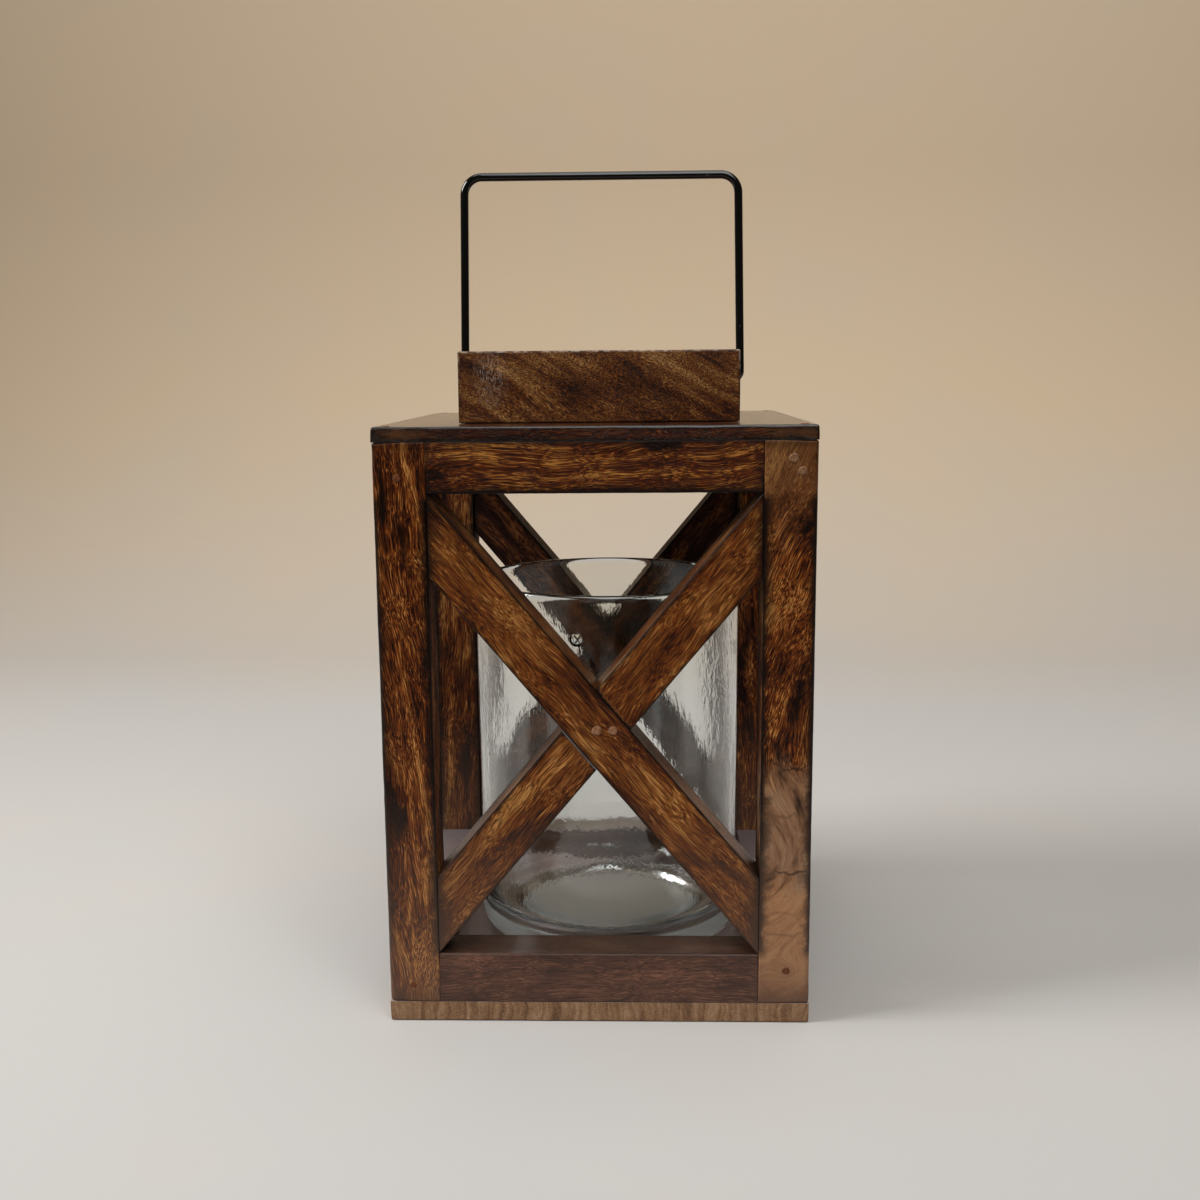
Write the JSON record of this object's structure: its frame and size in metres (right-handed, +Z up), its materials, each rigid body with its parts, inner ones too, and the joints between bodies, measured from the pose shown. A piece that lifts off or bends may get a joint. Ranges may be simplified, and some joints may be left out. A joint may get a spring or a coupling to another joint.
{
  "type": "hanging lantern",
  "caption": "Square wooden lantern with crossed braces front and back, open sides, a block and swinging wire bail on top, and a loose glass cylinder for a candle inside.",
  "frame": {"origin": "centre of the underside of the base board, on the surface that the lantern stands on", "axes": "+Z up, -Y out of the front face, +X to the right seen from the front; the bail swings about X"},
  "size_m": [0.15, 0.15, 0.304],
  "materials": {
    "base_wood": "stained hardwood, satin lacquer",
    "top_wood": "dark stained hardwood, glossy lacquer",
    "block_wood": "dark stained hardwood, satin lacquer",
    "post_wood": "stained hardwood with burnt edges, satin lacquer",
    "rail_wood": "dark stained hardwood, satin lacquer",
    "brace_wood": "stained hardwood, satin lacquer",
    "bail_wire": "glossy black enamel",
    "clear_glass": "clear hand-made glass, slightly wavy",
    "nail_steel": "plain steel, set and filled over",
    "screw_steel": "zinc-plated steel"
  },
  "bodies": {
    "frame": {"base_board": "base_wood", "top_board": "top_wood", "top_block": "block_wood", "post_front_left": "post_wood", "post_front_right": "post_wood", "post_back_left": "post_wood", "post_back_right": "post_wood", "rail_front_low": "rail_wood", "rail_front_high": "rail_wood", "rail_right_low": "rail_wood", "rail_right_high": "rail_wood", "rail_back_low": "rail_wood", "rail_back_high": "rail_wood", "rail_left_low": "rail_wood", "rail_left_high": "rail_wood", "brace_front_falling": "brace_wood", "brace_front_rising": "brace_wood", "brace_back_falling": "brace_wood", "brace_back_rising": "brace_wood", "base_nail_front_left": "nail_steel", "base_nail_front_right": "nail_steel", "base_nail_back_left": "nail_steel", "base_nail_back_right": "nail_steel", "top_nail_front_left": "nail_steel", "top_nail_front_right": "nail_steel", "top_nail_back_left": "nail_steel", "top_nail_back_right": "nail_steel", "nail_front_low_left": "nail_steel", "nail_front_low_right": "nail_steel", "nail_front_high_left": "nail_steel", "nail_front_high_right": "nail_steel", "nail_right_low_left": "nail_steel", "nail_right_low_right": "nail_steel", "nail_right_high_left": "nail_steel", "nail_right_high_right": "nail_steel", "nail_back_low_left": "nail_steel", "nail_back_low_right": "nail_steel", "nail_back_high_left": "nail_steel", "nail_back_high_right": "nail_steel", "nail_left_low_left": "nail_steel", "nail_left_low_right": "nail_steel", "nail_left_high_left": "nail_steel", "nail_left_high_right": "nail_steel", "nail_front_crossing_1": "nail_steel", "nail_front_crossing_2": "nail_steel", "nail_back_crossing_1": "nail_steel", "nail_back_crossing_2": "nail_steel", "block_screw_front_left": "screw_steel", "block_screw_front_right": "screw_steel", "block_screw_back_left": "screw_steel", "block_screw_back_right": "screw_steel"},
    "bail": {"bail_handle": "bail_wire"},
    "glass": {"candle_glass": "clear_glass"}
  },
  "joints": [
    {"name": "bail_swing", "type": "hinge", "parent": "frame", "child": "bail", "pos_m": [0.001, 0, 0.227], "axis": [1, 0, 0], "range_deg": [-99, 99]},
    {"name": "glass_lift", "type": "slide", "parent": "frame", "child": "glass", "axis": [0, 0, 1], "range_m": [0, 0.038]}
  ]
}
